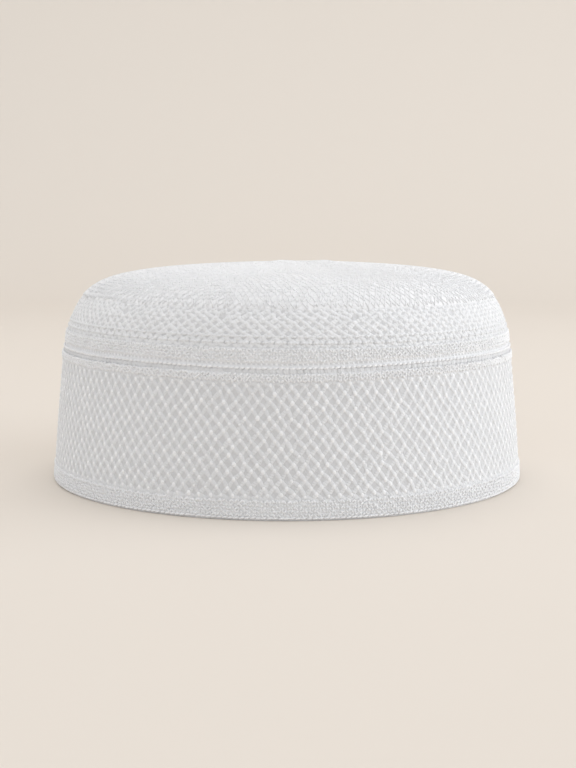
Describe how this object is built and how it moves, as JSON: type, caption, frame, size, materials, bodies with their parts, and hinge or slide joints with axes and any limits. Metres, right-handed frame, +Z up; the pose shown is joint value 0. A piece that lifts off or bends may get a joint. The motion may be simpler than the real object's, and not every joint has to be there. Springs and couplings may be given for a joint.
{
  "type": "prayer cap",
  "caption": "Round knitted prayer cap with a tapering net side band, a stitched seam and a low domed crown, open below for the head.",
  "frame": {"origin": "centre of the circle on which the rim rests, at the bottom of the cap", "axes": "+Z up through the middle of the crown, front towards -Y, +X to the viewer's right"},
  "size_m": [0.1852, 0.1852, 0.0846],
  "materials": {
    "white_yarn": "matt knitted cotton yarn"
  },
  "bodies": {
    "root": {"side_band": "white_yarn", "crown": "white_yarn"}
  },
  "joints": []
}
